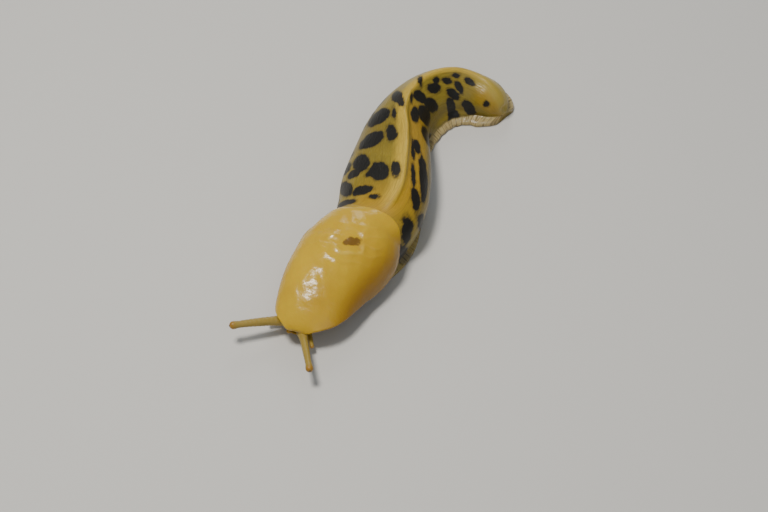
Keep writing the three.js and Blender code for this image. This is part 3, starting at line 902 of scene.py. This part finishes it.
class Wire:
    def __init__(self, graph, socket):
        self.graph, self.socket = graph, socket

    def maths(self, operation, *others):
        inputs = dict(enumerate((self, *others)))
        return self.graph.node("ShaderNodeMath", {"operation": operation}, inputs)

    def __add__(self, other):
        return self.maths("ADD", other)

    def __sub__(self, other):
        return self.maths("SUBTRACT", other)

    def __mul__(self, other):
        return self.maths("MULTIPLY", other)

    def __truediv__(self, other):
        return self.maths("DIVIDE", other)

    def __pow__(self, other):
        return self.maths("POWER", other)

    __radd__ = __add__
    __rmul__ = __mul__

    def __rsub__(self, other):
        return self.graph.node("ShaderNodeMath", {"operation": "SUBTRACT"}, {0: other, 1: self})

    def step(self, low, high):
        # 0 below low, 1 above high, smooth between
        settings = {"interpolation_type": "SMOOTHSTEP"}
        inputs = {"Value": self, "From Min": low, "From Max": high}
        return self.graph.node("ShaderNodeMapRange", settings, inputs)


class Graph:
    def __init__(self, tree):
        self.tree = tree

    def node(self, kind, settings, inputs, output=0):
        made = self.tree.nodes.new(kind)
        for key, value in settings.items():
            setattr(made, key, value)
        for key, value in inputs.items():
            socket = made.inputs[key]
            if isinstance(value, Wire):
                self.tree.links.new(value.socket, socket)
            else:
                socket.default_value = value
        return Wire(self, made.outputs[output]) if len(made.outputs) else None


class Paint(Graph):
    def __init__(self, name):
        self.material = bpy.data.materials.new(name)
        self.material.use_nodes = True
        self.material.node_tree.nodes.clear()
        super().__init__(self.material.node_tree)

    def attribute(self, name):
        return self.node("ShaderNodeAttribute", {"attribute_name": name}, {}, "Fac")

    def objectPlace(self):
        return self.node("ShaderNodeTexCoord", {}, {}, "Object")

    def vector(self, x, y, z):
        return self.node("ShaderNodeCombineXYZ", {}, {0: x, 1: y, 2: z})

    def noise(self, where, scale, detail=2.0, rough=0.5):
        inputs = {"Vector": where, "Scale": scale, "Detail": detail, "Roughness": rough}
        return self.node("ShaderNodeTexNoise", {}, inputs)

    def cells(self, where, scale, feature="F1", output="Distance", jitter=1.0):
        inputs = {"Vector": where, "Scale": scale, "Randomness": jitter}
        return self.node("ShaderNodeTexVoronoi", {"feature": feature}, inputs, output)

    def mix(self, factor, a, b, blend="MIX"):
        made = self.tree.nodes.new("ShaderNodeMix")
        made.data_type = "RGBA"
        made.blend_type = blend
        sockets = {0: factor, 6: a, 7: b}
        for index, value in sockets.items():
            if isinstance(value, Wire):
                self.tree.links.new(value.socket, made.inputs[index])
            else:
                made.inputs[index].default_value = value
        return Wire(self, made.outputs[2])

    def surface(self, settings):
        shader = self.node("ShaderNodeBsdfPrincipled", {}, settings)
        self.node("ShaderNodeOutputMaterial", {}, {"Surface": shader})
        return self.material


skinPaint = {
    "mantle": (200, 163, 38),
    "mantleDeep": (170, 126, 26),
    # the mantle's orange-brown, used mostly as painted shade on its lower sides
    "mantleBrownAndShade": (134, 90, 14),
    "mark": (94, 60, 26),
    # a painted highlight for the ridges of the wrinkles and creases
    "wrinkle": (220, 190, 84),
    "flank": (146, 126, 36),
    # a darker olive: random tone and streaks, and painted shade on the lower flank
    "flankDarkToneAndShade": (88, 72, 20),
    "behindMantle": (176, 136, 18),
    "orange": (166, 128, 26),
    # the keel's pale colour, also standing in as painted light on the crest's lit side
    "keel": (200, 166, 54),
    "spot": (10, 8, 6),
    "spotEdge": (58, 44, 14),
    "fringe": (174, 154, 104),
    "fringeLine": (72, 56, 26),
    "sole": (176, 158, 116),
    "tailTip": (178, 154, 66),
    "stalk": (152, 128, 54),
    "stalkTip": (154, 112, 34),
    # painted shade for the breathing pore and the mouth slit
    "pore": (52, 32, 12),
    "lip": (178, 136, 40),
}


# How rough the wet skin is, and how high each kind of bump stands
skinFinish = {
    "rough": 0.15,
    "patchy": 0.14,
    "roughBody": 0.12,
    "roughKeel": 0.16,
    "roughSpot": 0.08,
    "flankBump": 0.38,
    "fringeLine": 0.4,
    "pebble": 0.3,
    "pebbleMantle": 0.3,
    "pebbleBody": 0.25,
    "mantleWrinkle": 2.2,
    "fine": 0.08,
    "bumpStrength": 0.6,
    "bumpDistance": 0.00022,
}

# Where a colour starts and ends, each over a soft edge: mm behind the snout, mm round from the
# crest to the animal's left, and mm aside of the crest on both sides
patches = {
    "orange": {"along": ((40, 52), (88, 104)), "around": ((0.8, 3.2), (8, 13))},
    "tipOrange": {"along": ((126, 134), None), "around": ((1.5, 4.5), (8, 11))},
    "behindMantle": {"along": (None, (43, 62)), "aside": (None, (9, 17))},
    # painted shade low on the animal's left flank, weaker towards the tail
    "lowFlankShade": {"along": ((46, 60), None), "around": ((8.5, 15), None)},
    "saddle": {"along": ((64, 80), (86, 98))},
    # the pale keel, spread over the crest's lit slope on the animal's right as painted light and ending
    # sharply on its left
    "keel": {"along": ((42, 50), (126, 137)), "around": ((-5, -1.6), (0.6, 1.8))},
    "tailTip": {"along": ((120, 132), None), "aside": (None, (2.5, 6))},
    # painted shade, with some real orange-brown, on the animal's left side of the mantle
    "mantleLeftShade": {"around": ((7, 17), None)},
    # painted shade, with some real orange-brown, along the mantle's edge on the animal's right
    "mantleRightShade": {"around": (None, (-18, -10))},
    "head": {"along": (None, (2, 8))},
    "bumps": {"along": ((44, 58), None)},
}


def skinMaterial():
    c = {name: linear(colour) for name, colour in skinPaint.items()}
    f = skinFinish
    p = Paint("wetSkin")
    along, around = p.attribute("along"), p.attribute("around")
    spot, isMantle, fringe = p.attribute("spot"), p.attribute("mantle"), p.attribute("fringe")
    stalk, mark, crease = p.attribute("stalk"), p.attribute("mark"), p.attribute("crease")
    here = p.objectPlace()
    reads = {"along": along, "around": around, "aside": around.maths("ABSOLUTE")}

    def patch(name):
        mask = 1.0
        for axis, (start, end) in patches[name].items():
            if start:
                mask = reads[axis].step(*start) * mask
            if end:
                mask = (1 - reads[axis].step(*end)) * mask
        return mask

    # long low bumps that run along the flank, a little bent
    drift = p.noise(p.vector(along * 0.12, around * 0.12, 0.0), 1.0, 2.0) - 0.5
    bumpPlace = p.vector(along * 0.26 + drift * 1.2, around * 1.3 + drift * 1.6, 0.0)
    groove = p.cells(bumpPlace, 1.0, "DISTANCE_TO_EDGE")
    cellColour = p.cells(bumpPlace, 1.0, "F1", "Color")
    cellShade = p.node("ShaderNodeSeparateColor", {}, {0: cellColour})
    grooveLine = 1 - groove.step(0.0, 0.16)
    slow = p.noise(here, 55.0, 3.0, 0.55)
    fine = p.noise(here, 900.0, 3.0, 0.6)

    # flank: olive with a random darker tone, painted shade on the lower left flank, a darker middle band,
    # orange to the left of the keel, bright behind the mantle, and the pale keel spread over the crest's lit
    # side as painted light
    flank = p.mix(slow.step(0.35, 0.7) * 0.38, c["flank"], c["flankDarkToneAndShade"])
    # painted shade on the lower left flank, mixed with a darker middle band
    low = patch("lowFlankShade") * (0.85 - along.step(92.0, 104.0) * 0.55)
    flank = p.mix(low.maths("MAXIMUM", patch("saddle") * 0.3), flank, c["flankDarkToneAndShade"])
    flank = p.mix(patch("orange") * 0.8, flank, c["orange"])
    bright = patch("behindMantle") * (1 - around.step(2.0, 7.0) * 0.6)
    flank = p.mix(bright * 0.85, flank, c["behindMantle"])
    # the keel's pale colour, wider on the lit side of the crest: painted light
    keelPaleAndLitMask = patch("keel")
    flank = p.mix(keelPaleAndLitMask * 0.85, flank, c["keel"])
    streak = p.noise(p.vector(along * 0.07, around * 2.3 + drift * 2.0, 0.0), 1.0, 1.0).step(0.54, 0.7)
    flank = p.mix((grooveLine * 0.16).maths("MAXIMUM", streak * 0.36), flank, c["flankDarkToneAndShade"])
    flank = p.mix(patch("tailTip") * 0.7, flank, c["tailTip"])
    flank = p.mix(patch("tipOrange") * 0.5, flank, c["orange"])

    # dark spots, a little ragged along the grooves
    ragged = spot + 0.25 + (cellShade - 0.5) * 0.3 + (p.noise(here, 480.0, 3.0) - 0.5) * 1.3
    spotMask = ragged.step(-0.16, 0.26)
    flank = p.mix(ragged.step(-0.7, 0.0) * 0.45, flank, c["spotEdge"])
    flank = p.mix(spotMask * 0.98, flank, c["spot"])

    # fringe of the foot: pale, with fine dark cross lines
    wave = p.noise(p.vector(along * 0.5, 0.0, 0.0), 1.0, 1.0)
    lines = p.noise(p.vector(along * 1.6 + wave, around * 0.16, 0.0), 1.0, 1.5).step(0.48, 0.62)
    rim = p.mix(lines * 0.6, c["fringe"], c["fringeLine"])
    flank = p.mix(fringe * (0.45 + along.step(74.0, 98.0) * 0.55), flank, rim)
    up = p.node("ShaderNodeSeparateXYZ", {}, {0: here}, 2)
    flank = p.mix(1 - up.step(0.00002, 0.0004), flank, c["sole"])

    # mantle: a random deeper tone, painted shade with some real orange-brown towards both lower sides, a
    # painted highlight on the wrinkle ridges, painted shade in the breathing pore, and the brown mark
    hood = p.mix(slow.step(0.3, 0.75) * 0.55, c["mantle"], c["mantleDeep"])
    # painted shade, with some real orange-brown, towards both lower sides of the mantle
    hood = p.mix(patch("mantleLeftShade") * 0.8, hood, c["mantleBrownAndShade"])
    hood = p.mix(patch("mantleRightShade") * 0.4, hood, c["mantleBrownAndShade"])
    # painted highlight on the wrinkle and crease ridges
    hood = p.mix(crease.step(0.1, 0.9) * 0.4, hood, c["wrinkle"])
    # painted shade in the breathing pore
    hood = p.mix((0 - crease).step(0.5, 1.6), hood, c["pore"])
    markNoise = p.noise(here, 620.0, 3.0, 0.65)
    markMask = (mark + (markNoise - 0.5) * 2.4).step(-0.1, 0.6)
    hood = p.mix(markMask * 0.85, hood, c["mark"])
    colour = p.mix(isMantle, flank, hood)

    # head and tentacles
    onStalk = stalk.step(0.02, 0.07)
    onHead = patch("head") * (1 - isMantle) * (1 - onStalk)
    colour = p.mix(onHead * 0.8, colour, c["lip"])
    # painted shade in the mouth slit
    colour = p.mix((0 - crease).step(0.3, 0.9) * onHead, colour, c["pore"])
    feeler = p.mix(stalk.step(0.86, 0.98), c["stalk"], c["stalkTip"])
    colour = p.mix(onStalk, colour, feeler)

    offFlank = isMantle.maths("MAXIMUM", onStalk).maths("MAXIMUM", fringe)
    flankBump = groove.step(0.0, 0.42) * (1 - offFlank) * patch("bumps")
    pebble = p.cells(here, 620.0, "SMOOTH_F1") * f["pebble"]
    wrinkle = p.noise(here, 230.0, 3.0, 0.55) * isMantle
    height = flankBump * f["flankBump"] - lines * fringe * f["fringeLine"]
    height = height + pebble * (f["pebbleBody"] + isMantle * f["pebbleMantle"])
    height = height + wrinkle * f["mantleWrinkle"] + fine * f["fine"]
    bumpInputs = {"Strength": f["bumpStrength"], "Distance": f["bumpDistance"], "Height": height}
    bump = p.node("ShaderNodeBump", {}, bumpInputs)
    matt = (1 - fringe) * (f["roughBody"] + keelPaleAndLitMask * f["roughKeel"]) + spotMask * f["roughSpot"]
    return p.surface({
        "Base Color": colour,
        "Roughness": f["rough"] + slow * f["patchy"] + matt * (1 - isMantle),
        "Normal": bump,
        "Subsurface Weight": 0.12,
        "Subsurface Radius": (0.0035, 0.0018, 0.0007),
        "Subsurface Scale": 0.6,
        "Coat Weight": 0.06,
        "Coat Roughness": 0.08,
        "Specular IOR Level": 0.5,
        "IOR": 1.42,
    })


def eyeMaterial():
    p = Paint("eyeDark")
    speck = p.noise(p.objectPlace(), 2400.0, 2.0)
    colour = p.mix(speck, linear((26, 20, 16)), linear((58, 42, 28)))
    return p.surface({"Base Color": colour, "Roughness": 0.16, "Coat Weight": 0.6})


def buildStage():
    mesh = bpy.data.meshes.new("floor")
    half = stage["floorHalf"]
    corners = [(-half, -half, 0), (half, -half, 0), (half, half, 0), (-half, half, 0)]
    mesh.from_pydata(corners, [], [(0, 1, 2, 3)])
    floor = addPiece("floor", mesh)
    p = Paint("paleFloor")
    grain = p.noise(p.objectPlace(), 40.0, 3.0)
    pale = linear(stage["floor"])
    colour = p.mix(grain * 0.25, pale, tuple(0.94 * x for x in pale[:3]) + (1.0,))
    mesh.materials.append(p.surface({"Base Color": colour, "Roughness": 0.75}))

    camera = bpy.data.cameras.new("camera")
    camera.lens = stage["lens"]
    camera.sensor_width = stage["sensor"]
    camera.clip_start = 0.01
    eye = addPiece("camera", camera)
    back = Vector(cameraAxes()[0])
    eye.location = (Vector(stage["target"]) + back * stage["distance"]) * mm
    eye.rotation_euler = back.to_track_quat("Z", "Y").to_euler()
    bpy.context.scene.camera = eye

    world = bpy.data.worlds.new("studio")
    bpy.context.scene.world = world
    world.use_nodes = True
    glow = world.node_tree.nodes["Background"]
    glow.inputs["Color"].default_value = (*stage["world"], 1)
    glow.inputs["Strength"].default_value = stage["worldStrength"]

    for name in ("key", "fill", "back"):
        settings = stage[name]
        lamp = bpy.data.lights.new(name, "AREA")
        lamp.shape = "DISK"
        lamp.size = settings["size"]
        lamp.energy = settings["power"]
        lamp.color = settings["tint"]
        piece = addPiece(name, lamp)
        piece.location = settings["at"]
        aim = Vector(settings["at"]) - Vector(stage["lightsAim"])
        piece.rotation_euler = aim.to_track_quat("Z", "Y").to_euler()


buildStage()
print("stage ready")

skin = buildSkin(skinMaterial())
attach(skin, "root")
fleshNodes = [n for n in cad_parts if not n.startswith("eye")]
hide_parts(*fleshNodes)

eyePaint = eyeMaterial()
for node in ("eye_left", "eye_right"):
    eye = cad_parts[node]
    eye.data.materials.clear()
    eye.data.materials.append(eyePaint)
print("materials set")
